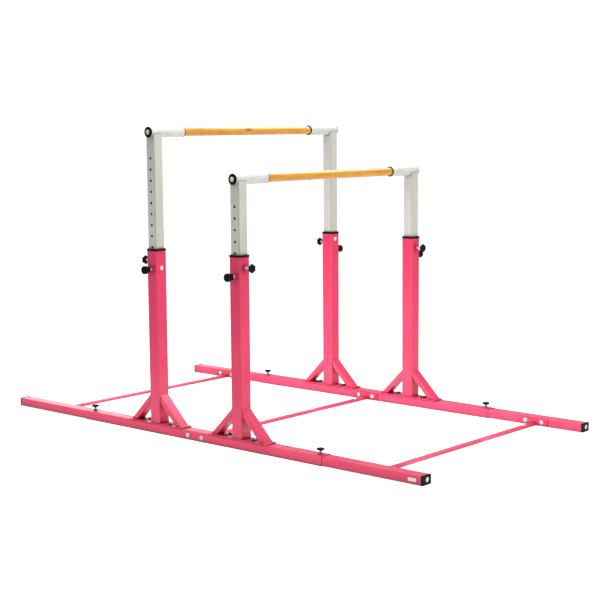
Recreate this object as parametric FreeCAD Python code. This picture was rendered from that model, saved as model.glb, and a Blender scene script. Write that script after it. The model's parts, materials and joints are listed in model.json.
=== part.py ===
import FreeCAD, Part
import math
import os

# Uneven parallel bars: two height-adjustable bars on four telescopic uprights,
# standing on two long rails with pull-out ends and three cross braces.
# Millimetres, +Z up, X along the rails, Y along the bars, origin on the floor
# at the middle of the frame.

V = FreeCAD.Vector

# ---- driving dimensions ----
SIDES = {"left": -1, "right": 1}
ENDS = {"front": -1, "back": 1}
BARS = {"high": "left", "low": "right"}

slide_gap = 0.3            # clearance between parts that slide on each other
thread_gap = 0.05          # radial clearance of a screw or pin in its hole

rail_y = 640.0             # rail and upright centre lines, from the middle
rail_half = 773.0          # middle rail tube, half its length
rail_width = 67.0
rail_height = 44.0
rail_wall = 1.7
rail_radius = 4.0

ext_width = rail_width - 2 * (rail_wall + slide_gap)
ext_height = rail_height - 2 * (rail_wall + slide_gap)
ext_wall = 1.8
ext_radius = 3.2
ext_inner_end = 640.0      # where the pull-out tube starts, inside the rail
ext_outer_end = 1301.0
cap_flange = 4.0
cap_overhang = 1.5
cap_radius = 5.0
cap_button_r = 11.5
cap_button_y = 7.0         # button centre, off the middle of the cap
cap_plug = 22.0

hole_pitch_x = 88.0        # rail hole pairs for the foot plates
hole_pair_y = 32.0
hole_steps = 6
foot_hole_r = 5.5

post_x = 270.0             # upright centre lines, from the middle
post_size = 64.0
post_wall = 2.5
post_radius = 5.0
post_top = 874.6
plate_length = 362.0
plate_width = 75.0
plate_thick = 5.0
gusset_depth = 26.0        # gusset tube, across its slope
gusset_width = 54.0
gusset_wall = 2.0
gusset_leg = 138.0         # outer leg of the 45 degree gusset

inner_size = 54.0
inner_wall = 2.0
inner_radius = 4.0
pin_pitch = 52.0
pin_holes = 11
pin_hole_r = 6.2
pin_z = 787.0              # pull pin height
inner_tail = 45.0          # inner post below its lowest hole
bar_above_hole = 122.0     # bar axis above the top hole
steps_engaged = {"high": 10, "low": 6}

collar_size = 68.0
collar_thick = 9.0         # clears the sleeve at the lowest step
collar_skirt = 40.0

sleeve_r = 25.0
sleeve_bore_r = 22.5
sleeve_outer_y = 675.0
sleeve_inner_y = 463.0
wood_r = 20.5
wood_end_y = 650.0
saddle_drop = 8.0          # top of the inner post below the bar axis
set_screw_y = 570.0

brace_x = 1040.0
brace_width = 30.0
brace_height = 12.0
brace_wall = 1.5
brace_floor = 3.0
flange_length = 156.0
flange_height = 33.0
flange_thick = 4.0
brace_bolt_x = 45.5
bolt_r = 5.0
bolt_washer_r = 11.5
bolt_head_h = 8.2
bolt_socket = 6.0          # hexagon socket, across its flats
brace_screw_inset = 90.0

knob_x = 741.0             # rail clamping knobs
knob_boss_r = 10.5
knob_boss_h = 8.5
knob_screw_r = 4.0
star_z = 826.0
star_boss_r = 12.5
star_boss_h = 8.0
star_screw_r = 6.0
disc_z = {"front": 793.0, "back": 846.0}
disc_r = 11.0
disc_hole_r = 7.0

barrel_r = 8.8
barrel_out = 28.0          # end of the pull pin's barrel, from the post face
barrel_chamber_r = 7.2
barrel_end_wall = 3.0
pin_boss_r = 14.0
pin_boss_h = 8.0
pin_tip_r = 5.9
pin_rod_r = 3.5
pin_collar_r = 6.8
pin_knob_start = 18.0      # the knob's rim, from the post face; it slides over the barrel
pin_knob_bore_r = 9.3
pin_collar_end = 4.0
spring_wire_r = 0.7
spring_mean_r = 5.2
spring_turns = 5.5

plate_z0 = rail_height + slide_gap
plate_z1 = plate_z0 + plate_thick
rail_mid_z = rail_height / 2
post_face = post_size / 2


# ---- shape helpers ----
def block(x0, x1, y0, y1, z0, z1):
    """Box between two corners, given in any order."""
    low = V(min(x0, x1), min(y0, y1), min(z0, z1))
    return Part.makeBox(abs(x1 - x0), abs(y1 - y0), abs(z1 - z0), low)


def rounded(shape, axis, radius):
    """Round the straight edges of a box that run along one axis."""
    edges = []
    for edge in shape.Edges:
        run = edge.Vertexes[1].Point.sub(edge.Vertexes[0].Point)
        if abs(run.dot(axis)) > 0.999 * run.Length * axis.Length:
            edges.append(edge)
    return shape.makeFillet(radius, edges)


def square_tube(x0, x1, y0, y1, z0, z1, axis, wall, radius):
    """Rectangular tube with rounded corners, open at both ends along axis."""
    outer = rounded(block(x0, x1, y0, y1, z0, z1), axis, radius)
    sx = 0 if axis.x else wall
    sy = 0 if axis.y else wall
    sz = 0 if axis.z else wall
    hollow = block(x0 + sx, x1 - sx, y0 + sy, y1 - sy, z0 + sz, z1 - sz)
    return outer.cut(rounded(hollow, axis, max(radius - wall, 0.6)))


def rod(x, y, z, axis, radius, length):
    """Cylinder from a point, along a direction."""
    return Part.makeCylinder(radius, length, V(x, y, z), axis)


def turned(points, base, axis):
    """Solid of revolution: (distance along axis, radius) points, from base."""
    profile = [V(r, 0, d) for d, r in points]
    face = Part.Face(Part.makePolygon([V(0, 0, points[0][0])] + profile
                                      + [V(0, 0, points[-1][0]), V(0, 0, points[0][0])]))
    solid = face.revolve(V(0, 0, 0), V(0, 0, 1), 360)
    turn = FreeCAD.Rotation(V(0, 0, 1), axis)
    solid.Placement = FreeCAD.Placement(base, turn)
    return solid


def hex_prism(start, axis, across, length):
    """Hexagonal prism from a point, along a direction."""
    radius = across / math.sqrt(3)
    corners = []
    for k in range(7):
        angle = math.radians(60 * k)
        corners.append(V(radius * math.cos(angle), radius * math.sin(angle), 0))
    solid = Part.Face(Part.makePolygon(corners)).extrude(V(0, 0, length))
    solid.Placement = FreeCAD.Placement(start, FreeCAD.Rotation(V(0, 0, 1), axis))
    return solid


def save(name, solids):
    """Write one node, which holds one solid or a group of like solids."""
    shape = solids[0] if len(solids) == 1 else Part.makeCompound(solids)
    for solid in shape.Solids:
        if not solid.isValid():
            print("not valid:", name)
    print(name, len(shape.Solids), round(shape.Volume))
    shape.exportStep("parts/" + name + ".step")


# ---- base frame ----
def middle_rail(sy):
    """Middle rail tube with its two welded knob bosses and its holes."""
    yc = sy * rail_y
    hw = rail_width / 2
    rail = square_tube(-rail_half, rail_half, yc - hw, yc + hw, 0, rail_height,
                       V(1, 0, 0), rail_wall, rail_radius)
    for sx in SIDES.values():
        boss = turned([(0, knob_boss_r), (knob_boss_h - 2, knob_boss_r - 1),
                       (knob_boss_h, knob_boss_r - 3)],
                      V(sx * knob_x, yc, rail_height), V(0, 0, 1))
        rail = rail.fuse(boss)
        hole_r = knob_screw_r + thread_gap
        rail = rail.cut(rod(sx * knob_x, yc, rail_height - 5, V(0, 0, 1), hole_r, 30))
        for step in range(hole_steps):
            x = sx * (post_x + hole_pitch_x * (step - 1))
            for half in (-0.5, 0.5):
                y = yc + half * hole_pair_y
                rail = rail.cut(rod(x, y, rail_height - 5, V(0, 0, 1), foot_hole_r, 10))
        rail = rail.cut(rod(sx * brace_bolt_x, yc - hw - 1, rail_mid_z, V(0, 1, 0),
                            bolt_r + thread_gap, rail_width + 2))
    return rail


def brace(xc, face_y):
    """Cross brace: a flat tube with a bolting flange welded on each end."""
    end_y = face_y - flange_thick
    tube = square_tube(xc - brace_width / 2, xc + brace_width / 2, -end_y, end_y,
                       brace_floor, brace_floor + brace_height, V(0, 1, 0), brace_wall, 2.5)
    z0 = rail_mid_z - flange_height / 2
    for sy in ENDS.values():
        flange = block(xc - flange_length / 2, xc + flange_length / 2, sy * end_y,
                       sy * face_y, z0, z0 + flange_height)
        tube = tube.fuse(rounded(flange, V(0, 1, 0), 4))
        for half in (-1, 1):
            tube = tube.cut(rod(xc + half * brace_bolt_x, sy * end_y - 10, rail_mid_z,
                                V(0, 1, 0), bolt_r + thread_gap, 20))
    return tube.cut(rod(xc, end_y - brace_screw_inset, brace_floor + 5, V(0, 0, 1), 2.5,
                        brace_height))


def brace_screw(xc, face_y):
    """Dome-headed screw in the top of a brace, near its back end."""
    y = face_y - flange_thick - brace_screw_inset
    return turned([(-4, 2.45), (0, 2.45), (0, 7), (1, 7), (2.6, 4.5), (3.2, 1.5)],
                  V(xc, y, brace_floor + brace_height), V(0, 0, 1))


def hex_socket(shape, x, y, z, axis, across, depth):
    """Cut a hexagon socket down from a point at the top of a screw's head."""
    start = V(x, y, z) - axis * depth
    return shape.cut(hex_prism(start, axis, across, depth + 1))


def dome_bolt(x, y, z, axis, shank):
    """Bolt with washer, domed head and hexagon socket; axis points out of the head."""
    bolt = turned([(-shank, bolt_r), (0, bolt_r), (0, bolt_washer_r), (1.8, bolt_washer_r),
                   (1.8, 9), (4.2, 8.8), (6.6, 7.2), (bolt_head_h, 4.4)], V(x, y, z), axis)
    top = V(x, y, z) + axis * bolt_head_h
    return hex_socket(bolt, top.x, top.y, top.z, axis, bolt_socket, 4)


def centre_brace_bolts():
    """Bolts through both walls of each rail, with a dome on both sides."""
    out = []
    for sy in ENDS.values():
        for half in (-1, 1):
            x = half * brace_bolt_x
            inner = rail_y - rail_width / 2 - flange_thick
            outer = rail_y + rail_width / 2
            bolt = dome_bolt(x, sy * inner, rail_mid_z, V(0, -sy, 0), outer - inner)
            nut = dome_bolt(x, sy * outer, rail_mid_z, V(0, sy, 0), 5)
            out.append(bolt.fuse(nut))
    return out + [brace_screw(0, rail_y - rail_width / 2)]


def side_brace_bolts(sx):
    """Bolts that hold a side brace to the inner walls of the pull-out tubes."""
    out = []
    face = rail_y - ext_width / 2
    for sy in ENDS.values():
        for half in (-1, 1):
            out.append(dome_bolt(sx * brace_x + half * brace_bolt_x, sy * (face - flange_thick),
                                 rail_mid_z, V(0, -sy, 0), flange_thick + 14))
    return out + [brace_screw(sx * brace_x, face)]


def extension(sx, sy):
    """Pull-out rail tube, with two bolt holes in its inner wall."""
    yc = sy * rail_y
    hw = ext_width / 2
    z0 = rail_mid_z - ext_height / 2
    xs = sorted((sx * ext_inner_end, sx * ext_outer_end))
    tube = square_tube(xs[0], xs[1], yc - hw, yc + hw, z0, z0 + ext_height,
                       V(1, 0, 0), ext_wall, ext_radius)
    for half in (-1, 1):
        tube = tube.cut(rod(sx * brace_x + half * brace_bolt_x, yc - sy * (hw + 5), rail_mid_z,
                            V(0, sy, 0), bolt_r + thread_gap, 15))
    return tube


def end_cap(sx, sy):
    """Plug in the open end of a pull-out tube, with a shallow round dent in its face."""
    yc = sy * rail_y
    hw = ext_width / 2 + cap_overhang
    hh = ext_height / 2 + cap_overhang
    x = sx * ext_outer_end
    flange = rounded(block(x, x + sx * cap_flange, yc - hw, yc + hw,
                           rail_mid_z - hh, rail_mid_z + hh), V(1, 0, 0), cap_radius)
    pw = ext_width / 2 - ext_wall
    ph = ext_height / 2 - ext_wall
    plug = rounded(block(x - sx * cap_plug, x, yc - pw, yc + pw,
                         rail_mid_z - ph, rail_mid_z + ph), V(1, 0, 0), 1.4)
    dent = rod(x + sx * (cap_flange - 0.8), yc + cap_button_y, rail_mid_z, V(sx, 0, 0),
               cap_button_r, 2)
    return flange.fuse(plug).cut(dent)


# ---- uprights ----
def outer_post(sx, end):
    """Outer post tube with welded bosses for the pull pin and the star knob."""
    sy = ENDS[end]
    xc = sx * post_x
    yc = sy * rail_y
    post = square_tube(xc - post_face, xc + post_face, yc - post_face, yc + post_face,
                       plate_z1, post_top, V(0, 0, 1), post_wall, post_radius)
    face_y = yc + sy * post_face
    face_x = xc + sx * post_face
    out_y = V(0, sy, 0)
    out_x = V(sx, 0, 0)
    pin_boss = rod(xc, face_y - sy * 0.5, pin_z, out_y, pin_boss_r, pin_boss_h + 0.5)
    pin_boss = pin_boss.cut(rod(xc, face_y, pin_z, out_y, barrel_r + thread_gap, pin_boss_h + 1))
    star_boss = rod(face_x - sx * 0.5, yc, star_z, out_x, star_boss_r, star_boss_h + 0.5)
    post = post.fuse(pin_boss).fuse(star_boss)
    post = post.cut(rod(xc, face_y - sy * 5, pin_z, out_y, pin_tip_r + thread_gap, 5))
    post = post.cut(rod(face_x - sx * 5, yc, star_z, out_x, star_screw_r + thread_gap, 15))
    return post.cut(rod(xc - sx * (post_face + 1), yc, disc_z[end], out_x, disc_hole_r, 5))


def gusset(sx_tube, xc, yc):
    """Diagonal tube between the post and its foot plate, on one side in X."""
    inner_leg = gusset_leg - gusset_depth * math.sqrt(2)
    step = gusset_wall * math.sqrt(2)

    def slab(leg_in, leg_out, half_y):
        corners = [(0, leg_in), (0, leg_out), (leg_out, 0), (leg_in, 0), (0, leg_in)]
        points = [V(xc + sx_tube * (post_face + u), yc - half_y, plate_z1 + w) for u, w in corners]
        return Part.Face(Part.makePolygon(points)).extrude(V(0, 2 * half_y, 0))

    outer = rounded(slab(inner_leg, gusset_leg, gusset_width / 2),
                    V(sx_tube, 0, -1).normalize(), 3)
    return outer.cut(slab(inner_leg + step, gusset_leg - step, gusset_width / 2 - gusset_wall))


def foot_plate(xc, yc):
    """Flat foot plate with four bolt holes."""
    plate = rounded(block(xc - plate_length / 2, xc + plate_length / 2, yc - plate_width / 2,
                          yc + plate_width / 2, plate_z0, plate_z1), V(0, 0, 1), 4)
    for x, y in foot_bolt_places(xc, yc):
        plate = plate.cut(rod(x, y, plate_z0 - 1, V(0, 0, 1), foot_hole_r, plate_thick + 2))
    return plate


def foot_bolt_places(xc, yc):
    places = []
    for half_x in (-1, 1):
        for half_y in (-0.5, 0.5):
            places.append((xc + half_x * hole_pitch_x, yc + half_y * hole_pair_y))
    return places


def foot_bolt(x, y):
    """Bolt in a foot plate; the shank ends flush under the plate."""
    return dome_bolt(x, y, plate_z1, V(0, 0, 1), plate_thick)


def collar(xc, yc):
    """Plastic guide collar: a flange on the post's end and a skirt inside it."""
    hs = collar_size / 2
    flange = rounded(block(xc - hs, xc + hs, yc - hs, yc + hs, post_top,
                           post_top + collar_thick), V(0, 0, 1), post_radius + 1)
    hk = post_face - post_wall
    skirt = rounded(block(xc - hk, xc + hk, yc - hk, yc + hk, post_top - collar_skirt,
                          post_top), V(0, 0, 1), post_radius - post_wall)
    hb = inner_size / 2 + slide_gap
    bore = rounded(block(xc - hb, xc + hb, yc - hb, yc + hb, post_top - collar_skirt - 1,
                         post_top + collar_thick + 1), V(0, 0, 1), inner_radius - 0.8)
    return flange.fuse(skirt).cut(bore)


def cover_disc(sx, end):
    """Round push-in cover on the side of the post that has no star knob."""
    face_x = sx * (post_x - post_face)
    return turned([(0.1 - post_wall, disc_hole_r - 1), (-1.2, disc_hole_r - thread_gap),
                   (0, disc_hole_r - thread_gap),
                   (0, disc_r), (1.2, disc_r), (2.4, disc_r - 2.5)],
                  V(face_x, ENDS[end] * rail_y, disc_z[end]), V(-sx, 0, 0))


# ---- bars ----
def inner_post(bar, sy):
    """Inner post tube with its pin holes and a saddle for the sleeve."""
    xc = SIDES[BARS[bar]] * post_x
    yc = sy * rail_y
    top_hole = pin_z + pin_pitch * steps_engaged[bar]
    axis_z = top_hole + bar_above_hole
    low = top_hole - pin_pitch * (pin_holes - 1) - inner_tail
    hs = inner_size / 2
    post = square_tube(xc - hs, xc + hs, yc - hs, yc + hs, low, axis_z - saddle_drop,
                       V(0, 0, 1), inner_wall, inner_radius)
    for k in range(pin_holes):
        post = post.cut(rod(xc, yc + sy * (hs - 8), top_hole - k * pin_pitch, V(0, sy, 0),
                            pin_hole_r, 12))
    return post.cut(rod(xc, yc - 40, axis_z, V(0, 1, 0), sleeve_r, 80))


def bar_place(bar):
    """Centre line of a bar: its X and its height."""
    axis_z = pin_z + pin_pitch * steps_engaged[bar] + bar_above_hole
    return SIDES[BARS[bar]] * post_x, axis_z


def sleeve(bar, sy):
    """Steel sleeve welded across the top of an inner post."""
    x, z = bar_place(bar)
    length = sleeve_outer_y - sleeve_inner_y
    start = V(x, sy * sleeve_inner_y, z)
    tube = Part.makeCylinder(sleeve_r, length, start, V(0, sy, 0))
    tube = tube.cut(rod(x, start.y - sy, z, V(0, sy, 0), sleeve_bore_r, length + 2))
    return tube.cut(rod(x, sy * set_screw_y, z, V(1, 0, 0), 2.5, 40))


def wood_bar(bar):
    """Round wooden bar, drilled for its set screws and end screws."""
    x, z = bar_place(bar)
    solid = rod(x, -wood_end_y, z, V(0, 1, 0), wood_r, 2 * wood_end_y)
    for sy in ENDS.values():
        solid = solid.cut(rod(x + 9, sy * set_screw_y, z, V(1, 0, 0), 2.5, 20))
        solid = solid.cut(rod(x, sy * (wood_end_y - 26), z, V(0, sy, 0), 4, 40))
    return solid


def end_plug(bar, sy):
    """Plastic plug that closes the outer end of a sleeve."""
    x, z = bar_place(bar)
    plug = turned([(-10, sleeve_bore_r), (0, sleeve_bore_r), (0, sleeve_r),
                   (3.4, sleeve_r), (5, sleeve_r - 1.8)],
                  V(x, sy * sleeve_outer_y, z), V(0, sy, 0))
    return plug.cut(rod(x, sy * (sleeve_outer_y - 12), z, V(0, sy, 0), 4, 20))


def bar_screws(bar):
    """End screws with washers, and the set screws in the sleeves."""
    x, z = bar_place(bar)
    out = []
    for sy in ENDS.values():
        face_y = sy * (sleeve_outer_y + 5)
        screw = turned([(-41, 3.95), (0, 3.95), (0, 11.5), (1.5, 11.5), (1.5, 8), (3.6, 7.4),
                        (5.6, 4.2)], V(x, face_y, z), V(0, sy, 0))
        out.append(hex_socket(screw, x, face_y + sy * 5.6, z, V(0, sy, 0), 5, 3))
        out.append(turned([(-14, 2.45), (0.4, 2.45), (0.4, 5.2), (2.2, 4.6), (3.2, 2.6)],
                          V(x + sleeve_r, sy * set_screw_y, z), V(1, 0, 0)))
    return out


def bush(bar, sy):
    """Plastic bush between the wood and the mouth of a sleeve."""
    x, z = bar_place(bar)
    solid = turned([(-4.5, sleeve_r - 0.6), (-3.7, sleeve_r + 0.4), (0, sleeve_r + 0.4),
                    (0, sleeve_bore_r), (30, sleeve_bore_r)],
                   V(x, sy * sleeve_inner_y, z), V(0, sy, 0))
    return solid.cut(rod(x, sy * (sleeve_inner_y - 6), z, V(0, sy, 0), wood_r, 40))


# ---- knobs and pins ----
def pin_barrel(sx, sy):
    """Barrel screwed into the pin boss, with the spring chamber inside."""
    base = V(sx * post_x, sy * (rail_y + post_face), pin_z)
    out = V(0, sy, 0)
    barrel = Part.makeCylinder(barrel_r, barrel_out, base, out)
    chamber = Part.makeCylinder(barrel_chamber_r, barrel_out - barrel_end_wall, base, out)
    bore = Part.makeCylinder(pin_rod_r + thread_gap, barrel_out + 1, base, out)
    return barrel.cut(chamber).cut(bore)


def pull_pin(sx, sy):
    """Sprung locking pin: steel plunger with a flared plastic knob."""
    base = V(sx * post_x, sy * (rail_y + post_face), pin_z)
    out = V(0, sy, 0)
    tip = slide_gap - (post_size - inner_size) / 2
    plunger = turned([(tip, pin_tip_r - 0.8), (tip + 0.8, pin_tip_r), (1, pin_tip_r),
                      (1, pin_collar_r), (pin_collar_end, pin_collar_r),
                      (pin_collar_end, pin_rod_r), (barrel_out + 16, pin_rod_r)], base, out)
    knob = turned([(0, 12.6), (3, 15), (13, 15.8), (18, 18.6), (20, 19.2), (32.6, 19.2),
                   (36, 16.5)], base + out * pin_knob_start, out)
    bore = Part.makeCylinder(pin_knob_bore_r, barrel_out + 0.6 - pin_knob_start,
                             base + out * pin_knob_start, out)
    return [plunger, knob.cut(plunger).cut(bore)]


def pin_spring(sx, sy):
    """Coil spring between the plunger's collar and the barrel's end."""
    start = pin_collar_end + spring_wire_r + 0.1
    height = barrel_out - barrel_end_wall - start - spring_wire_r - 0.1
    helix = Part.makeHelix(height / spring_turns, height, spring_mean_r)
    section = Part.Wire(Part.makeCircle(spring_wire_r, V(spring_mean_r, 0, 0), V(0, 1, 0)))
    coil = Part.Wire(helix).makePipeShell([section], True, True)
    turn = FreeCAD.Rotation(V(0, 0, 1), V(0, sy, 0))
    base = V(sx * post_x, sy * (rail_y + post_face + start), pin_z)
    coil.Placement = FreeCAD.Placement(base, turn)
    return coil if coil.ShapeType == "Solid" else Part.Solid(coil)


def lobed(base, axis, hub_r, lobe_r, lobe_at, lobes, thick):
    """Star-shaped hand knob head with round lobes."""
    body = Part.makeCylinder(hub_r, thick)
    for k in range(lobes):
        angle = 2 * math.pi * k / lobes
        centre = V(lobe_at * math.cos(angle), lobe_at * math.sin(angle), 0)
        body = body.fuse(Part.makeCylinder(lobe_r, thick, centre))
    body.Placement = FreeCAD.Placement(base, FreeCAD.Rotation(V(0, 0, 1), axis))
    return body


def star_knob(sx, sy):
    """Clamping knob on the side of an upright: screw, hub and star head."""
    base = V(sx * (post_x + post_face), sy * rail_y, star_z)
    out = V(sx, 0, 0)
    tip = slide_gap - (post_size - inner_size) / 2
    screw = turned([(tip, star_screw_r - 1), (tip + 1, star_screw_r), (46, star_screw_r)],
                   base, out)
    head = lobed(base + out * 41, out, 15.5, 6, 15, 6, 12)
    hub = turned([(37.5, 10), (41, 12.5), (42, 12.5)], base, out)
    return [screw, head.fuse(hub).cut(screw)]


def rail_knob(sx, sy):
    """Mushroom-shaped clamping knob on top of a rail."""
    base = V(sx * knob_x, sy * rail_y, rail_height)
    up = V(0, 0, 1)
    tip = slide_gap + 0.1 - rail_wall - slide_gap
    screw = turned([(tip, knob_screw_r - 1), (tip + 1, knob_screw_r), (22, knob_screw_r)],
                   base, up)
    knob = turned([(13.5, 7), (16.5, 8.6), (19, 15.5), (20.5, 18.4), (23, 19), (26, 18), (29, 10)],
                  base, up)
    return [screw, knob.cut(screw)]


def build():
    os.makedirs("parts", exist_ok=True)
    for end, sy in ENDS.items():
        save(end + "_rail", [middle_rail(sy)])
    save("centre_brace", [brace(0, rail_y - rail_width / 2)])
    save("centre_brace_bolts", centre_brace_bolts())

    for side, sx in SIDES.items():
        save(side + "_brace", [brace(sx * brace_x, rail_y - ext_width / 2)])
        save(side + "_brace_bolts", side_brace_bolts(sx))
        save(side + "_end_caps", [end_cap(sx, sy) for sy in ENDS.values()])
        feet = [(sx * post_x, sy * rail_y) for sy in ENDS.values()]
        save(side + "_gussets", [gusset(turn, x, y) for x, y in feet for turn in (-1, 1)])
        save(side + "_foot_plates", [foot_plate(x, y) for x, y in feet])
        bolts = [foot_bolt(*place) for x, y in feet for place in foot_bolt_places(x, y)]
        save(side + "_foot_bolts", bolts)
        save(side + "_collars", [collar(x, y) for x, y in feet])
        save(side + "_cover_discs", [cover_disc(sx, end) for end in ENDS])
        save(side + "_pin_barrels", [pin_barrel(sx, sy) for sy in ENDS.values()])
        for end, sy in ENDS.items():
            corner = end + "_" + side
            save(corner + "_extension", [extension(sx, sy)])
            save(corner + "_post", [outer_post(sx, end)])
            save(corner + "_pull_pin", pull_pin(sx, sy))
            save(corner + "_pin_spring", [pin_spring(sx, sy)])
            save(corner + "_star_knob", star_knob(sx, sy))
            save(corner + "_rail_knob", rail_knob(sx, sy))

    for bar in BARS:
        for end, sy in ENDS.items():
            save(end + "_" + bar + "_inner_post", [inner_post(bar, sy)])
        save(bar + "_sleeves", [sleeve(bar, sy) for sy in ENDS.values()])
        save(bar + "_wood_bar", [wood_bar(bar)])
        save(bar + "_end_plugs", [end_plug(bar, sy) for sy in ENDS.values()])
        save(bar + "_bar_screws", bar_screws(bar))
        save(bar + "_bushes", [bush(bar, sy) for sy in ENDS.values()])


build()
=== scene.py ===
import json
import math
import bpy
from mathutils import Matrix, Vector


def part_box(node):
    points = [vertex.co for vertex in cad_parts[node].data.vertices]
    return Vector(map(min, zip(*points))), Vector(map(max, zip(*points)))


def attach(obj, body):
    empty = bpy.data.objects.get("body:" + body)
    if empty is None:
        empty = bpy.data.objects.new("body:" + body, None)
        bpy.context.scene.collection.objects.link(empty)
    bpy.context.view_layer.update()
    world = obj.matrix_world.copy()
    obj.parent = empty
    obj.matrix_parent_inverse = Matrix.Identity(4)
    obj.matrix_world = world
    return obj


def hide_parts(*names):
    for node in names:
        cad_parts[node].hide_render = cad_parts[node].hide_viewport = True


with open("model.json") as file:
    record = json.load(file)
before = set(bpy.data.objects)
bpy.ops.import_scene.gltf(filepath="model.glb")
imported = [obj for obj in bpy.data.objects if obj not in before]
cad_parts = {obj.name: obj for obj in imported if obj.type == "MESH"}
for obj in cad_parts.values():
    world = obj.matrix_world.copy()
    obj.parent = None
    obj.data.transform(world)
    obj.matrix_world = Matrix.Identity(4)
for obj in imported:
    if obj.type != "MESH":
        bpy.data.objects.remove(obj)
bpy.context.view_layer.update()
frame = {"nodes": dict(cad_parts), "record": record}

sides = {"left": -1, "right": 1}
ends = {"front": -1, "back": 1}
record = frame["record"]
print("frame loaded:", len(frame["nodes"]), "nodes")


def deselectAll():
    if bpy.context.object and bpy.context.object.mode != "OBJECT":
        bpy.ops.object.mode_set(mode="OBJECT")
    bpy.ops.object.select_all(action="DESELECT")


def linear(r, g, b):
    # screen colour 0-255 to the linear colour that sockets take
    def one(c):
        c = c / 255
        return c / 12.92 if c <= 0.04045 else ((c + 0.055) / 1.055) ** 2.4
    return (one(r), one(g), one(b), 1)


def addNode(tree, kind, spot, settings=None, **values):
    node = tree.nodes.new(kind)
    node.location = spot
    for name, value in (settings or {}).items():
        setattr(node, name, value)
    for name, value in values.items():
        node.inputs[name.replace("_", " ")].default_value = value
    return node


def newGroup(name, inputs, outputs):
    # shader group with named float or vector sockets; each input has its default
    group = bpy.data.node_groups.new(name, "ShaderNodeTree")
    kinds = {"f": "NodeSocketFloat", "v": "NodeSocketVector"}
    for label, kind, default in inputs:
        socket = group.interface.new_socket(name=label, in_out="INPUT", socket_type=kinds[kind])
        socket.default_value = default
    for label, kind in outputs:
        group.interface.new_socket(name=label, in_out="OUTPUT", socket_type=kinds[kind])
    groupIn = addNode(group, "NodeGroupInput", (-900, 0))
    groupOut = addNode(group, "NodeGroupOutput", (700, 0))
    return group, groupIn, groupOut


def mathNode(tree, operation, spot, a, b=None, clamp=False):
    node = addNode(tree, "ShaderNodeMath", spot, {"operation": operation, "use_clamp": clamp})
    for socket, value in zip(node.inputs, (a, b)):
        if value is None:
            continue
        if isinstance(value, (int, float)):
            socket.default_value = value
        else:
            tree.links.new(value, socket)
    return node.outputs[0]


def mixColour(tree, spot, factor, a, b):
    node = addNode(tree, "ShaderNodeMix", spot, {"data_type": "RGBA"})
    for socket, value in zip((node.inputs[0], node.inputs[6], node.inputs[7]), (factor, a, b)):
        if isinstance(value, (int, float, tuple)):
            socket.default_value = value
        else:
            tree.links.new(value, socket)
    return node.outputs[2]


def makeEdgeWear():
    # finds convex edges by comparing the rounded normal with the true one
    group, gin, gout = newGroup("edgeWear",
        [("Radius", "f", 0.002), ("Break Up", "f", 90.0), ("Amount", "f", 0.5)],
        [("Mask", "f"), ("Normal", "v")])
    link = group.links.new
    coords = addNode(group, "ShaderNodeTexCoord", (-900, -250))
    bevel = addNode(group, "ShaderNodeBevel", (-650, 150), {"samples": 6})
    link(gin.outputs["Radius"], bevel.inputs["Radius"])
    geometry = addNode(group, "ShaderNodeNewGeometry", (-650, 350))
    dot = addNode(group, "ShaderNodeVectorMath", (-450, 250), {"operation": "DOT_PRODUCT"})
    link(bevel.outputs["Normal"], dot.inputs[0])
    link(geometry.outputs["Normal"], dot.inputs[1])
    turn = mathNode(group, "SUBTRACT", (-250, 250), 1.0, dot.outputs["Value"], True)
    noise = addNode(group, "ShaderNodeTexNoise", (-650, -150), Detail=6.0, Roughness=0.7)
    link(coords.outputs["Object"], noise.inputs["Vector"])
    link(gin.outputs["Break Up"], noise.inputs["Scale"])
    rough = mathNode(group, "SUBTRACT", (-450, -150), noise.outputs[0], 0.42, True)
    worn = mathNode(group, "MULTIPLY", (-50, 100), turn, rough)
    strong = mathNode(group, "MULTIPLY", (120, 100), worn, 14.0, True)
    final = mathNode(group, "MULTIPLY", (300, 100), strong, gin.outputs["Amount"], True)
    link(final, gout.inputs["Mask"])
    link(bevel.outputs["Normal"], gout.inputs["Normal"])
    return group


def makePaintSkin():
    # orange peel, slow shade drift and handling smudges of a powder coat
    group, gin, gout = newGroup("paintSkin",
        [("Peel Scale", "f", 420.0), ("Drift Scale", "f", 3.0), ("Smudge Scale", "f", 14.0)],
        [("Height", "f"), ("Drift", "f"), ("Smudge", "f")])
    link = group.links.new
    coords = addNode(group, "ShaderNodeTexCoord", (-900, -250))
    for label, spot, detail, low, high in (("Peel Scale", 200, 3.0, 0.3, 0.7),
                                           ("Drift Scale", 0, 2.0, 0.35, 0.65),
                                           ("Smudge Scale", -200, 8.0, 0.45, 0.75)):
        noise = addNode(group, "ShaderNodeTexNoise", (-600, spot), Detail=detail)
        link(coords.outputs["Object"], noise.inputs["Vector"])
        link(gin.outputs[label], noise.inputs["Scale"])
        spread = addNode(group, "ShaderNodeMapRange", (-350, spot),
                         From_Min=low, From_Max=high)
        link(noise.outputs[0], spread.inputs["Value"])
        target = {"Peel Scale": "Height", "Drift Scale": "Drift", "Smudge Scale": "Smudge"}[label]
        link(spread.outputs[0], gout.inputs[target])
    return group


def makeOcclusionShade():
    # painted shade: darkens inner corners, sockets and holes by ambient occlusion
    group, gin, gout = newGroup("occlusionShade",
        [("Reach", "f", 0.01), ("Amount", "f", 0.5)], [("Mask", "f")])
    occlusion = addNode(group, "ShaderNodeAmbientOcclusion", (-600, 0), {"samples": 8})
    group.links.new(gin.outputs["Reach"], occlusion.inputs["Distance"])
    hidden = mathNode(group, "SUBTRACT", (-350, 0), 1.0, occlusion.outputs["AO"], True)
    steep = mathNode(group, "MULTIPLY", (-150, 0), hidden, 1.6, True)
    amount = mathNode(group, "MULTIPLY", (50, 0), steep, gin.outputs["Amount"], True)
    group.links.new(amount, gout.inputs["Mask"])
    return group


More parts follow.
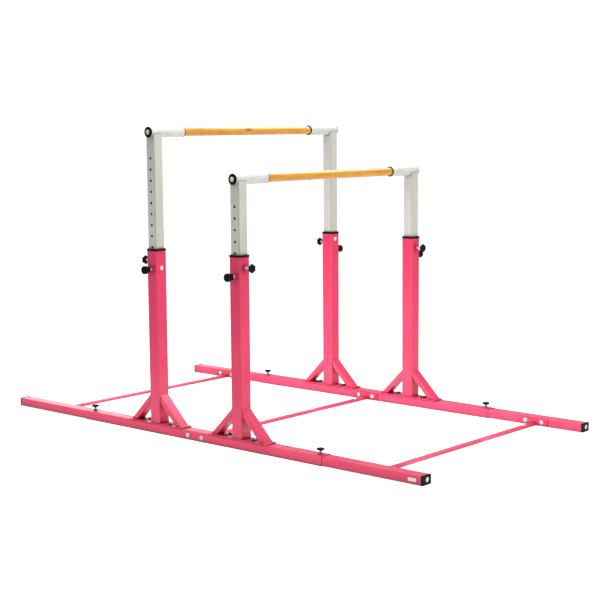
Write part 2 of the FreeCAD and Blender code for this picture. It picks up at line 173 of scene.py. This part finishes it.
def makeFineScratches():
    # short scratches in two directions, for plated steel and plastic
    group, gin, gout = newGroup("fineScratches",
        [("Scale", "f", 60.0), ("Amount", "f", 0.5)], [("Mask", "f")])
    link = group.links.new
    coords = addNode(group, "ShaderNodeTexCoord", (-1100, 0))
    found = []
    for spot, stretch in ((150, (1.0, 9.0, 2.0)), (-150, (8.0, 1.0, 7.0))):
        mapping = addNode(group, "ShaderNodeMapping", (-900, spot))
        mapping.inputs["Scale"].default_value = stretch
        mapping.inputs["Rotation"].default_value = (0.3, 0.5, 0.2)
        link(coords.outputs["Object"], mapping.inputs["Vector"])
        noise = addNode(group, "ShaderNodeTexNoise", (-650, spot), Detail=5.0, Roughness=0.8)
        link(mapping.outputs[0], noise.inputs["Vector"])
        link(gin.outputs["Scale"], noise.inputs["Scale"])
        spread = addNode(group, "ShaderNodeMapRange", (-400, spot), From_Min=0.56, From_Max=0.68)
        link(noise.outputs[0], spread.inputs["Value"])
        found.append(spread.outputs[0])
    both = mathNode(group, "MAXIMUM", (-150, 0), found[0], found[1])
    link(mathNode(group, "MULTIPLY", (50, 0), both, gin.outputs["Amount"], True), gout.inputs["Mask"])
    return group


edgeWear = makeEdgeWear()
paintSkin = makePaintSkin()
occlusionShade = makeOcclusionShade()
fineScratches = makeFineScratches()
print("shader groups made")


def useGroup(tree, group, spot, **values):
    return addNode(tree, "ShaderNodeGroup", spot, {"node_tree": group}, **values)


def newMaterial(name):
    material = bpy.data.materials.new(name)
    material.use_nodes = True
    tree = material.node_tree
    shader = tree.nodes["Principled BSDF"]
    shader.location = (500, 0)
    tree.nodes["Material Output"].location = (800, 0)
    return material, tree, shader


# what a coat has unless its own entry says otherwise
plainCoat = {"edge": 0.0022, "wear": 0.35, "shadeReach": 0.06, "shading": 0.0,
             "creviceShadeReach": 0.007, "creviceShading": 0.45, "scratches": 0.25, "specular": 0.5}
# the crevice colour of each look, with its reach and amount, is painted shade in corners, seams and
# recesses; the shade colour is painted shade over a wider reach
pinkPaint = {"colour": (240, 58, 104), "deep": (231, 51, 96), "worn": (250, 160, 186),
             "creviceShade": (70, 4, 24), "shade": (158, 0, 48), "shadeReach": 0.045, "shading": 0.6,
             "creviceShadeReach": 0.005, "creviceShading": 0.9,
             "roughness": 0.28, "smudged": 0.4, "coat": 0.3}
# a lighter copy of pinkPaint for the rails and their extensions: painted light, giving the rails the
# extra brightness of their lighting, with stronger painted shade in crevices
litRailPaint = {**pinkPaint, "colour": (252, 72, 116), "deep": (245, 64, 108),
             "worn": (252, 170, 194), "shading": 0.5, "creviceShadeReach": 0.010, "creviceShading": 0.95}


def insideTube(tree, tube):
    # 1 within the walls of the upright tubes, which are bare inside; the near black given there is
    # painted shade
    coords = addNode(tree, "ShaderNodeTexCoord", (-1100, 700))
    parts = addNode(tree, "ShaderNodeSeparateXYZ", (-900, 700))
    tree.links.new(coords.outputs["Object"], parts.inputs[0])
    found = []
    for axis, spot in (("x", 800), ("y", 600)):
        away = mathNode(tree, "ABSOLUTE", (-700, spot), parts.outputs[axis.upper()])
        offset = mathNode(tree, "SUBTRACT", (-520, spot), away, tube[axis])
        across = mathNode(tree, "ABSOLUTE", (-340, spot), offset)
        found.append(mathNode(tree, "LESS_THAN", (-160, spot), across, tube["inside"]))
    return mathNode(tree, "MULTIPLY", (20, 700), found[0], found[1])


def coatedSurface(name, ownLook):
    look = {**plainCoat, **ownLook}
    material, tree, shader = newMaterial(name)
    link = tree.links.new
    skin = useGroup(tree, paintSkin, (-900, 100))
    wear = useGroup(tree, edgeWear, (-900, -200), Radius=look["edge"],
                    Amount=look["wear"])
    # painted shade: these two layers darken corners, seams and recesses by ambient occlusion
    shade = useGroup(tree, occlusionShade, (-900, -420), Reach=look["shadeReach"],
                     Amount=look["shading"])
    creviceShade = useGroup(tree, occlusionShade, (-900, -800), Reach=look["creviceShadeReach"],
                    Amount=look["creviceShading"])
    scratch = useGroup(tree, fineScratches, (-900, -600), Scale=40.0,
                       Amount=look["scratches"])
    drift = mixColour(tree, (-600, 200), skin.outputs["Drift"], linear(*look["colour"]),
                      linear(*look["deep"]))
    edged = mixColour(tree, (-380, 150), wear.outputs["Mask"], drift, linear(*look["worn"]))
    shaded = mixColour(tree, (-260, 120), shade.outputs["Mask"], edged,
                       linear(*look.get("shade", look["creviceShade"])))
    creviceShaded = mixColour(tree, (-60, 100), creviceShade.outputs["Mask"], shaded, linear(*look["creviceShade"]))
    # painted shade: inside the upright tubes the colour goes near black
    if "tube" in look:
        creviceShaded = mixColour(tree, (120, 100), insideTube(tree, look["tube"]), creviceShaded,
                           linear(3, 3, 3))
    link(creviceShaded, shader.inputs["Base Color"])
    rough = addNode(tree, "ShaderNodeMapRange", (-380, -100), To_Min=look["roughness"],
                    To_Max=look["smudged"])
    link(skin.outputs["Smudge"], rough.inputs["Value"])
    link(mathNode(tree, "ADD", (-160, -120), rough.outputs[0], scratch.outputs["Mask"], True),
         shader.inputs["Roughness"])
    bump = addNode(tree, "ShaderNodeBump", (200, -300), Strength=0.12, Distance=0.0006)
    link(skin.outputs["Height"], bump.inputs["Height"])
    link(wear.outputs["Normal"], bump.inputs["Normal"])
    link(bump.outputs[0], shader.inputs["Normal"])
    shader.inputs["Specular IOR Level"].default_value = look["specular"]
    shader.inputs["Coat Weight"].default_value = look["coat"]
    shader.inputs["Coat Roughness"].default_value = 0.12
    return material


greyCoat = {"colour": (212, 212, 202), "deep": (204, 204, 193), "worn": (236, 236, 232),
            "creviceShade": (40, 40, 37), "creviceShading": 0.9, "creviceShadeReach": 0.012, "roughness": 0.34,
            "smudged": 0.5, "coat": 0.15, "tube": {"x": 0.270, "y": 0.640, "inside": 0.0263}}
sleeveCoat = {"colour": (222, 224, 219), "deep": (216, 218, 213), "worn": (244, 244, 242),
              "creviceShade": (90, 90, 84), "roughness": 0.3, "smudged": 0.36, "coat": 0.2,
              "scratches": 0.06}
blackPlastic = {"colour": (7, 7, 8), "deep": (11, 11, 12), "worn": (38, 38, 40),
                "creviceShade": (2, 2, 2), "roughness": 0.4, "smudged": 0.58, "coat": 0.0,
                "specular": 0.13, "wear": 0.25}
whitePlastic = {"colour": (236, 236, 232), "deep": (228, 228, 222), "worn": (246, 246, 244),
                "creviceShade": (120, 116, 108), "roughness": 0.25, "smudged": 0.38, "coat": 0.1}
# in the plated looks the crevice colour and its reach give painted shade in hollows
zincPlate = {"colour": (255, 255, 254), "shade": (226, 227, 229), "tint": (244, 240, 222),
             "metal": 0.2, "roughness": 0.26, "matt": 0.46, "creviceShade": (24, 22, 21), "reach": 0.004}
# a darker, reddish copy of zincPlate for the foot bolts: painted shade, for bolts sitting in shadow
# under the gussets
shadedBolt = {"colour": (150, 138, 136), "shade": (92, 80, 80), "tint": (130, 84, 84),
              "metal": 0.9, "roughness": 0.2, "matt": 0.34, "creviceShade": (14, 6, 8), "reach": 0.016}


def platedSteel(name, look):
    # bright zinc: metal with cloudy plating, a faint yellow tint and scratches, and painted shade
    # darkening its crevices
    material, tree, shader = newMaterial(name)
    link = tree.links.new
    skin = useGroup(tree, paintSkin, (-900, 100), Peel_Scale=900.0, Drift_Scale=45.0,
                    Smudge_Scale=120.0)
    wear = useGroup(tree, edgeWear, (-900, -200), Radius=0.0008, Amount=0.3)
    creviceShade = useGroup(tree, occlusionShade, (-900, -420), Reach=look["reach"], Amount=0.9)
    scratch = useGroup(tree, fineScratches, (-900, -600), Scale=160.0, Amount=0.3)
    cloud = mixColour(tree, (-600, 200), skin.outputs["Drift"], linear(*look["colour"]),
                      linear(*look["shade"]))
    tinted = mixColour(tree, (-380, 200), mathNode(tree, "MULTIPLY", (-600, 0),
                       skin.outputs["Smudge"], 0.4), cloud, linear(*look["tint"]))
    creviceShaded = mixColour(tree, (-160, 150), creviceShade.outputs["Mask"], tinted, linear(*look["creviceShade"]))
    link(creviceShaded, shader.inputs["Base Color"])
    shader.inputs["Metallic"].default_value = look["metal"]
    rough = addNode(tree, "ShaderNodeMapRange", (-380, -100), To_Min=look["roughness"],
                    To_Max=look["matt"])
    link(skin.outputs["Smudge"], rough.inputs["Value"])
    link(mathNode(tree, "ADD", (-160, -120), rough.outputs[0], scratch.outputs["Mask"], True),
         shader.inputs["Roughness"])
    bump = addNode(tree, "ShaderNodeBump", (200, -300), Strength=0.1, Distance=0.0002)
    link(skin.outputs["Height"], bump.inputs["Height"])
    link(wear.outputs["Normal"], bump.inputs["Normal"])
    link(bump.outputs[0], shader.inputs["Normal"])
    return material


woodLook = {"pale": (238, 176, 58), "mid": (224, 150, 30), "streak": (176, 100, 20),
            "knot": (110, 58, 16), "roughness": 0.26, "coat": 0.6}


def varnishedWood(name, look):
    # grain runs along Y, the length of the bar
    material, tree, shader = newMaterial(name)
    link = tree.links.new
    coords = addNode(tree, "ShaderNodeTexCoord", (-1500, 0))

    def grain(spot, stretch, detail, low, high, distort=0.0):
        mapping = addNode(tree, "ShaderNodeMapping", (-1300, spot))
        mapping.inputs["Scale"].default_value = stretch
        link(coords.outputs["Object"], mapping.inputs["Vector"])
        noise = addNode(tree, "ShaderNodeTexNoise", (-1100, spot), Scale=1.0, Detail=detail,
                        Roughness=0.62, Distortion=distort)
        link(mapping.outputs[0], noise.inputs["Vector"])
        spread = addNode(tree, "ShaderNodeMapRange", (-880, spot), From_Min=low, From_Max=high)
        link(noise.outputs[0], spread.inputs["Value"])
        return spread.outputs[0]

    broad = grain(400, (26.0, 1.6, 26.0), 3.0, 0.38, 0.66, 0.6)   # growth bands
    fibre = grain(150, (420.0, 9.0, 420.0), 4.0, 0.45, 0.72)       # fine fibres
    pores = grain(-100, (900.0, 55.0, 900.0), 2.0, 0.62, 0.72)     # short dark pores
    mottle = grain(-350, (9.0, 14.0, 9.0), 4.0, 0.5, 0.72, 1.2)    # blotches and figure
    knotMap = addNode(tree, "ShaderNodeMapping", (-1300, -600))
    knotMap.inputs["Scale"].default_value = (9.0, 3.4, 9.0)
    link(coords.outputs["Object"], knotMap.inputs["Vector"])
    cells = addNode(tree, "ShaderNodeTexVoronoi", (-1100, -600), Scale=1.3)
    link(knotMap.outputs[0], cells.inputs["Vector"])
    knots = addNode(tree, "ShaderNodeMapRange", (-880, -600), From_Min=0.16, From_Max=0.06)
    link(cells.outputs["Distance"], knots.inputs["Value"])
    base = mixColour(tree, (-600, 350), broad, linear(*look["pale"]), linear(*look["mid"]))
    lines = mixColour(tree, (-400, 300), mathNode(tree, "MULTIPLY", (-600, 150), fibre, 0.45),
                      base, linear(*look["streak"]))
    spots = mixColour(tree, (-200, 250), mathNode(tree, "MULTIPLY", (-400, 100), mottle, 0.4),
                      lines, linear(*look["streak"]))
    pored = mixColour(tree, (0, 200), mathNode(tree, "MULTIPLY", (-200, 50), pores, 0.5),
                      spots, linear(*look["knot"]))
    knotted = mixColour(tree, (200, 150), mathNode(tree, "MULTIPLY", (0, 0), knots.outputs[0], 0.7),
                        pored, linear(*look["knot"]))
    link(knotted, shader.inputs["Base Color"])
    rough = addNode(tree, "ShaderNodeMapRange", (0, -200), To_Min=look["roughness"], To_Max=0.4)
    link(fibre, rough.inputs["Value"])
    link(rough.outputs[0], shader.inputs["Roughness"])
    bump = addNode(tree, "ShaderNodeBump", (200, -300), Strength=0.08, Distance=0.0004)
    link(fibre, bump.inputs["Height"])
    link(bump.outputs[0], shader.inputs["Normal"])
    shader.inputs["Coat Weight"].default_value = look["coat"]
    shader.inputs["Coat Roughness"].default_value = 0.06
    return material


labelLook = {"paper": (255, 252, 240), "edge": (250, 240, 214)}


def labelPaper(name, look):
    material, tree, shader = newMaterial(name)
    link = tree.links.new
    skin = useGroup(tree, paintSkin, (-600, 0), Peel_Scale=1500.0, Drift_Scale=60.0,
                    Smudge_Scale=200.0)
    wear = useGroup(tree, edgeWear, (-600, -300), Radius=0.0006, Amount=0.7)
    base = mixColour(tree, (-300, 0), skin.outputs["Drift"], linear(*look["paper"]),
                     linear(*look["edge"]))
    link(mixColour(tree, (-100, 0), wear.outputs["Mask"], base, linear(*look["edge"])),
         shader.inputs["Base Color"])
    rough = addNode(tree, "ShaderNodeMapRange", (-100, -200), To_Min=0.4, To_Max=0.6)
    link(skin.outputs["Smudge"], rough.inputs["Value"])
    link(rough.outputs[0], shader.inputs["Roughness"])
    return material


finishes = {
    "pinkPaint": coatedSurface("pinkPaint", pinkPaint),
    "greyCoat": coatedSurface("greyCoat", greyCoat),
    "sleeveCoat": coatedSurface("sleeveCoat", sleeveCoat),
    "blackPlastic": coatedSurface("blackPlastic", blackPlastic),
    "whitePlastic": coatedSurface("whitePlastic", whitePlastic),
    "zincPlate": platedSteel("zincPlate", zincPlate),
    "shadedBolt": platedSteel("shadedBolt", shadedBolt),
    "litRailPaint": coatedSurface("litRailPaint", litRailPaint),
    "varnishedWood": varnishedWood("varnishedWood", woodLook),
    "labelPaper": labelPaper("labelPaper", labelLook),
}
print("materials made:", len(finishes))

slotFinish = {"pink_steel": "pinkPaint", "grey_steel": "greyCoat", "zinc_steel": "zincPlate",
              "spring_steel": "zincPlate", "black_plastic": "blackPlastic",
              "white_plastic": "whitePlastic", "varnished_wood": "varnishedWood"}
# nodes whose finish differs from the rest of their slot, by the end of their name
ownFinish = {"sleeves": "sleeveCoat", "foot_bolts": "shadedBolt", "_rail": "litRailPaint",
             "_extension": "litRailPaint"}


def paintNodes():
    for subpart in record["subparts"]:
        nodeObject = frame["nodes"][subpart["node"]]
        finish = slotFinish[subpart["material_slot"]]
        for ending, other in ownFinish.items():
            if subpart["node"].endswith(ending):
                finish = other
        nodeObject.data.materials.clear()
        nodeObject.data.materials.append(finishes[finish])


paintNodes()
print("CAD nodes painted")


def turnedPiece(name, rings, around=40):
    # a disc, then each ring is an extrude along Z and a resize
    deselectAll()
    bpy.ops.mesh.primitive_circle_add(vertices=around, radius=rings[0][1], fill_type="NGON",
                                      location=(0, 0, rings[0][0]))
    piece = bpy.context.object
    piece.name = name
    bpy.ops.object.transform_apply(location=True, rotation=True, scale=True)
    bpy.ops.object.mode_set(mode="EDIT")
    bpy.ops.mesh.select_all(action="SELECT")
    for (lowZ, lowR), (highZ, highR) in zip(rings, rings[1:]):
        bpy.ops.mesh.extrude_region_move(TRANSFORM_OT_translate={"value": (0, 0, highZ - lowZ)})
        bpy.ops.transform.resize(value=(highR / lowR, highR / lowR, 1))
    bpy.ops.mesh.select_all(action="SELECT")
    bpy.ops.mesh.normals_make_consistent(inside=False)
    bpy.ops.object.mode_set(mode="OBJECT")
    return piece


def softenEdges(piece, width, segments=3, limit=30):
    deselectAll()
    piece.select_set(True)
    bpy.context.view_layer.objects.active = piece
    bpy.ops.object.modifier_add(type="BEVEL")
    bevel = piece.modifiers[-1]
    bevel.width = width
    bevel.segments = segments
    bevel.limit_method = "ANGLE"
    bevel.angle_limit = math.radians(limit)
    bpy.ops.object.modifier_apply(modifier=bevel.name)
    bpy.ops.object.shade_smooth_by_angle(angle=math.radians(40))


def placeCopy(source, name, spot, direction, body, node, slotName):
    # own mesh, its Z turned to direction, then put at spot
    deselectAll()
    source.select_set(True)
    bpy.context.view_layer.objects.active = source
    bpy.ops.object.duplicate()
    piece = bpy.context.object
    piece.name = name
    piece.data.name = name
    aim = Vector(direction).to_track_quat("Z", "Y").to_matrix().to_4x4()
    piece.data.transform(Matrix.Translation(spot) @ aim)
    piece.data.materials.clear()
    piece.data.materials.append(finishes[slotFinish[slotName]])
    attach(piece, body)
    if node:
        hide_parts(node)


def dropSources(*sources):
    for source in sources:
        bpy.data.objects.remove(source)


def threadRings(start, stop, radius, pitch, depth):
    rings = []
    z = start
    while z + pitch <= stop:
        rings += [(z, radius - depth), (z + pitch * 0.5, radius)]
        z += pitch
    rings.append((z, radius - depth))
    return rings


# each knob's heights run outwards from the face that it is screwed to
starKnob = {"reach": 0.053, "headThick": 0.0135, "lobeRadius": 0.0209,
            "pulls": (1.0, 0.975, 0.885, 0.80, 0.885, 0.975), "lobes": 6, "trim": 0.952,
            "steps": ((0.0022, 1.05), (0.0030, 1.0), (0.0032, 0.99), (0.0026, 0.93)),
            "crown": ((0.0025, 0.0018), (0.0045, -0.0006)),
            "hub": [(0.0375, 0.0092), (0.0385, 0.0104), (0.0402, 0.0112)],
            "screwTip": (-0.0045, 0.0048), "screwFrom": -0.0038, "screwTo": 0.040,
            "screwRadius": 0.0059, "pitch": 0.00175, "threadDepth": 0.0009}


def makeStarHead():
    # a disc with six valleys pulled in, raised in steps to a crowned face
    deselectAll()
    bottom = starKnob["reach"] - starKnob["headThick"]
    corners = starKnob["lobes"] * len(starKnob["pulls"])
    bpy.ops.mesh.primitive_circle_add(vertices=corners, radius=starKnob["lobeRadius"],
                                      fill_type="NGON", location=(0, 0, bottom))
    head = bpy.context.object
    head.name = "starHead"
    bpy.ops.object.transform_apply(location=True, rotation=True, scale=True)
    for index, vertex in enumerate(head.data.vertices):
        pull = starKnob["pulls"][index % len(starKnob["pulls"])]
        vertex.co.x *= pull
        vertex.co.y *= pull
    bpy.ops.object.mode_set(mode="EDIT")
    bpy.ops.mesh.select_all(action="SELECT")
    for rise, grow in starKnob["steps"]:
        bpy.ops.mesh.extrude_region_move(TRANSFORM_OT_translate={"value": (0, 0, rise)})
        bpy.ops.transform.resize(value=(grow, grow, 1))
    for inset, rise in starKnob["crown"]:
        bpy.ops.mesh.inset(thickness=inset)
        bpy.ops.transform.translate(value=(0, 0, rise))
    bpy.ops.mesh.select_all(action="SELECT")
    bpy.ops.mesh.normals_make_consistent(inside=False)
    bpy.ops.object.mode_set(mode="OBJECT")
    trim = starKnob["trim"]
    head.data.transform(Matrix.Scale(trim, 4, (1, 0, 0)) @ Matrix.Scale(trim, 4, (0, 1, 0)))
    softenEdges(head, 0.0006)
    return head


def makeThreadedScrew(name, knob, around):
    screw = turnedPiece(name, [knob["screwTip"]]
                        + threadRings(knob["screwFrom"], knob["screwTo"], knob["screwRadius"],
                                      knob["pitch"], knob["threadDepth"]), around)
    softenEdges(screw, 0.0001, segments=1, limit=50)
    return screw


def makeStarKnobs():
    head = makeStarHead()
    hub = turnedPiece("starHub", starKnob["hub"])
    softenEdges(hub, 0.0004)
    screw = makeThreadedScrew("starScrew", starKnob, 28)
    for end in ends:
        for side, sx in sides.items():
            node = end + "_" + side + "_star_knob"
            low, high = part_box(node)
            outer = high.x if sx > 0 else low.x
            spot = (outer - sx * starKnob["reach"], (low.y + high.y) / 2, (low.z + high.z) / 2)
            tag = end.capitalize() + side.capitalize()
            for source, kind, slotName in ((head, "starKnobHead", "black_plastic"),
                                           (hub, "starKnobHub", "black_plastic"),
                                           (screw, "starKnobScrew", "zinc_steel")):
                placeCopy(source, kind + tag, spot, (sx, 0, 0), node, node, slotName)
    dropSources(head, hub, screw)


makeStarKnobs()
print("star knobs made")


# the head starts inside its bore, turns over the rim and flares to the grip
pullPin = {"reach": 0.054,
           "head": [(0.0290, 0.0093), (0.0186, 0.0094), (0.0182, 0.0108), (0.0184, 0.0126),
                    (0.0194, 0.0142), (0.0210, 0.0150), (0.0280, 0.0152), (0.0312, 0.0158),
                    (0.0338, 0.0172), (0.0360, 0.0186), (0.0380, 0.0192), (0.0440, 0.0191),
                    (0.0500, 0.0192), (0.0516, 0.0187), (0.0528, 0.0172), (0.0534, 0.0150),
                    (0.0531, 0.0100), (0.0536, 0.0070), (0.0538, 0.0040)],
           "rod": [(-0.0047, 0.0051), (-0.0039, 0.0059), (0.001, 0.0059), (0.0011, 0.0068),
                   (0.004, 0.0068), (0.0041, 0.0034), (0.0300, 0.0034)]}


def makePullPins():
    head = turnedPiece("pullHead", pullPin["head"], 48)
    softenEdges(head, 0.0003, segments=2, limit=40)
    rod = turnedPiece("pullRod", pullPin["rod"], 32)
    softenEdges(rod, 0.0001, segments=1, limit=50)
    for end, sy in ends.items():
        for side in sides:
            node = end + "_" + side + "_pull_pin"
            low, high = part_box(node)
            outer = high.y if sy > 0 else low.y
            spot = ((low.x + high.x) / 2, outer - sy * pullPin["reach"], (low.z + high.z) / 2)
            tag = end.capitalize() + side.capitalize()
            placeCopy(head, "pullPinHead" + tag, spot, (0, sy, 0), node, node, "black_plastic")
            placeCopy(rod, "pullPinRod" + tag, spot, (0, sy, 0), node, node, "zinc_steel")
    dropSources(head, rod)


makePullPins()
print("pull pins made")


railKnob = {"reach": 0.029,
            "head": [(0.0135, 0.0062), (0.0139, 0.0070), (0.0158, 0.0080), (0.0176, 0.0108),
                     (0.0190, 0.0150), (0.0202, 0.0178), (0.0216, 0.0189), (0.0234, 0.0190),
                     (0.0250, 0.0184), (0.0268, 0.0165), (0.0280, 0.0130), (0.0287, 0.0080),
                     (0.0289, 0.0034)],
            "screwTip": (-0.0012, 0.0030), "screwFrom": -0.0006, "screwTo": 0.0150,
            "screwRadius": 0.0039, "pitch": 0.00125, "threadDepth": 0.0006}


def makeRailKnobs():
    head = turnedPiece("railHead", railKnob["head"], 48)
    softenEdges(head, 0.0003, segments=2, limit=40)
    screw = makeThreadedScrew("railScrew", railKnob, 24)
    for end in ends:
        for side in sides:
            node = end + "_" + side + "_rail_knob"
            low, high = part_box(node)
            spot = ((low.x + high.x) / 2, (low.y + high.y) / 2, high.z - railKnob["reach"])
            tag = end.capitalize() + side.capitalize()
            placeCopy(head, "railKnobHead" + tag, spot, (0, 0, 1), node, node, "black_plastic")
            placeCopy(screw, "railKnobScrew" + tag, spot, (0, 0, 1), node, node, "zinc_steel")
    dropSources(head, screw)


makeRailKnobs()
print("rail knobs made")


capButton = {"sunk": 0.0014, "offset": 0.007,
             "disc": [(0.0, 0.0112), (0.0006, 0.0112), (0.0011, 0.0104), (0.0013, 0.0080),
                      (0.0012, 0.0050), (0.0012, 0.0010)]}


def makeCapButtons():
    disc = turnedPiece("buttonDisc", capButton["disc"], 40)
    softenEdges(disc, 0.0001, segments=1, limit=40)
    for end in ends:
        for side, sx in sides.items():
            low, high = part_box(side + "_end_caps")
            extLow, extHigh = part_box(end + "_" + side + "_extension")
            faceX = high.x if sx > 0 else low.x
            spot = (faceX - sx * capButton["sunk"],
                    (extLow.y + extHigh.y) / 2 + capButton["offset"],
                    (extLow.z + extHigh.z) / 2)
            placeCopy(disc, "endCapButton" + end.capitalize() + side.capitalize(), spot,
                      (sx, 0, 0), side + "_extension", None, "white_plastic")
    dropSources(disc)


label = {"from": 1.236, "to": 1.277, "height": 0.0145, "thick": 0.0003, "corner": 0.003}


def makeLabel():
    # a blank sticker with rounded corners on the front face of the rail end
    low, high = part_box("front_right_extension")
    midZ = (low.z + high.z) / 2
    deselectAll()
    bpy.ops.mesh.primitive_cube_add(size=1, location=((label["from"] + label["to"]) / 2,
                                                      low.y - label["thick"] / 2, midZ))
    piece = bpy.context.object
    piece.name = "railLabel"
    piece.scale = (label["to"] - label["from"], label["thick"], label["height"])
    bpy.ops.object.transform_apply(location=True, rotation=True, scale=True)
    bpy.ops.object.mode_set(mode="EDIT")
    bpy.ops.mesh.select_all(action="DESELECT")
    bpy.ops.object.mode_set(mode="OBJECT")
    for edge in piece.data.edges:
        a, b = (piece.data.vertices[i].co for i in edge.vertices)
        edge.select = abs(a.y - b.y) > label["thick"] * 0.5
    bpy.ops.object.mode_set(mode="EDIT")
    bpy.context.tool_settings.mesh_select_mode = (False, True, False)
    bpy.ops.mesh.bevel(offset=label["corner"], segments=5)
    bpy.ops.object.mode_set(mode="OBJECT")
    bpy.context.tool_settings.mesh_select_mode = (True, False, False)
    piece.data.materials.append(finishes["labelPaper"])
    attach(piece, "right_extension")


makeCapButtons()
makeLabel()
print("cap buttons and label made")


studio = {"floorSize": 80.0, "floor": (243, 243, 243), "floorGlow": 0.8, "ambient": 0.38,
          "streak": 1.5, "streakAt": (-0.80, 0.57, 0.19), "backdrop": 1.15, "lights": {
              "topSoftbox": {"at": (0.5, -0.6, 3.2), "aim": (0.2, 0.1, 0.0),
                             "size": (3.0, 1.2), "power": 50, "glossy": True},
              "backSoftbox": {"at": (-0.7, 2.3, 3.3), "aim": (0.0, 0.0, 1.0),
                              "size": (3.2, 1.2), "power": 46, "glossy": True},
              "rightSoftbox": {"at": (7.0, 0.3, 2.4), "aim": (0.0, 0.0, 0.7),
                               "size": (3.0, 3.0), "power": 120, "glossy": True},
              "floorBounce": {"at": (-0.4, -1.9, 1.0), "aim": (-0.4, -1.4, 0.0),
                              "size": (3.4, 0.9), "power": 6, "glossy": False},
              "glint": {"at": (5.4, -4.9, 2.3), "aim": (0.0, -0.3, 0.6),
                        "size": (1.4, 1.4), "power": 220, "glossy": True, "diffuse": False},
              "frontRailLight": {"at": (-0.1, -1.10, 0.04), "aim": (-0.1, -0.67, 0.01),
                                 "size": (3.0, 0.06), "power": 0.9, "glossy": False},
              "backRailLight": {"at": (0.0, 0.15, 0.05), "aim": (0.0, 0.6, 0.01),
                                "size": (2.8, 0.06), "power": 2.4, "glossy": False},
              "rowLight": {"at": (0.0, -0.45, 0.25), "aim": (0.0, 0.65, 0.05),
                           "size": (2.7, 0.3), "power": 8, "glossy": False}}}


def makeFloor():
    deselectAll()
    bpy.ops.mesh.primitive_plane_add(size=studio["floorSize"], location=(0, 0, -0.0002))
    floor = bpy.context.object
    floor.name = "studioFloor"
    material, tree, shader = newMaterial("studioFloor")
    shader.inputs["Base Color"].default_value = linear(*studio["floor"])
    shader.inputs["Roughness"].default_value = 0.9
    shader.inputs["Specular IOR Level"].default_value = 0.1
    shader.inputs["Emission Color"].default_value = (1, 1, 1, 1)
    path = addNode(tree, "ShaderNodeLightPath", (0, -300))
    glow = mathNode(tree, "MULTIPLY", (250, -300), path.outputs["Is Camera Ray"],
                    studio["floorGlow"])
    tree.links.new(glow, shader.inputs["Emission Strength"])
    floor.data.materials.append(material)


def makeWorld():
    # white to the camera; as light, an even dim white with one bright streak low at the back
    world = bpy.data.worlds.new("studioWorld")
    bpy.context.scene.world = world
    world.use_nodes = True
    tree = world.node_tree
    tree.nodes.clear()
    link = tree.links.new
    coords = addNode(tree, "ShaderNodeTexCoord", (-1100, 0))
    streak = addNode(tree, "ShaderNodeVectorMath", (-900, -250), {"operation": "DOT_PRODUCT"})
    streak.inputs[1].default_value = studio["streakAt"]
    link(coords.outputs["Generated"], streak.inputs[0])
    extra = addNode(tree, "ShaderNodeMapRange", (-700, -250), From_Min=0.978, From_Max=0.995,
                    To_Min=0.0, To_Max=studio["streak"])
    link(streak.outputs["Value"], extra.inputs["Value"])
    soft = addNode(tree, "ShaderNodeBackground", (-400, -50))
    link(mathNode(tree, "ADD", (-550, -100), extra.outputs[0], studio["ambient"]),
         soft.inputs["Strength"])
    seen = addNode(tree, "ShaderNodeBackground", (-400, -250), Strength=studio["backdrop"])
    for background in (soft, seen):
        background.inputs["Color"].default_value = (1, 1, 1, 1)
    path = addNode(tree, "ShaderNodeLightPath", (-400, 300))
    mixed = addNode(tree, "ShaderNodeMixShader", (-100, 0))
    out = addNode(tree, "ShaderNodeOutputWorld", (150, 0))
    link(path.outputs["Is Camera Ray"], mixed.inputs[0])
    link(soft.outputs[0], mixed.inputs[1])
    link(seen.outputs[0], mixed.inputs[2])
    link(mixed.outputs[0], out.inputs["Surface"])


def makeLights():
    for lightName, settings in studio["lights"].items():
        lamp = bpy.data.lights.new(lightName, "AREA")
        lamp.shape = "RECTANGLE"
        lamp.size, lamp.size_y = settings["size"]
        lamp.energy = settings["power"]
        lampObject = bpy.data.objects.new(lightName, lamp)
        bpy.context.scene.collection.objects.link(lampObject)
        lampObject.location = settings["at"]
        aim = Vector(settings["aim"]) - Vector(settings["at"])
        lampObject.rotation_euler = aim.to_track_quat("-Z", "Y").to_euler()
        lampObject.visible_camera = False
        lampObject.visible_glossy = settings["glossy"]
        lampObject.visible_diffuse = settings.get("diffuse", True)


makeFloor()
makeWorld()
makeLights()

cameraView = {"at": (4.5646, -5.1300, 1.4595), "azimuth": 40.990, "elevation": 7.427,
              "roll": -0.411, "lens": 81.96}


def placeCamera():
    azimuth = math.radians(cameraView["azimuth"])
    elevation = math.radians(cameraView["elevation"])
    roll = math.radians(cameraView["roll"])
    back = Vector((math.sin(azimuth) * math.cos(elevation),
                   -math.cos(azimuth) * math.cos(elevation), math.sin(elevation)))
    right = (-back).cross(Vector((0, 0, 1))).normalized()
    up = right.cross(-back)
    across = math.cos(roll) * right + math.sin(roll) * up
    above = -math.sin(roll) * right + math.cos(roll) * up
    data = bpy.data.cameras.new("mainCamera")
    data.lens = cameraView["lens"]
    data.sensor_width = 36
    data.clip_end = 200
    camera = bpy.data.objects.new("mainCamera", data)
    bpy.context.scene.collection.objects.link(camera)
    turn = Matrix((across, above, back)).transposed().to_4x4()
    camera.matrix_world = Matrix.Translation(cameraView["at"]) @ turn
    bpy.context.scene.camera = camera


placeCamera()
bpy.context.scene.view_settings.view_transform = "Standard"
bpy.context.scene.view_settings.look = "None"
print("studio ready")
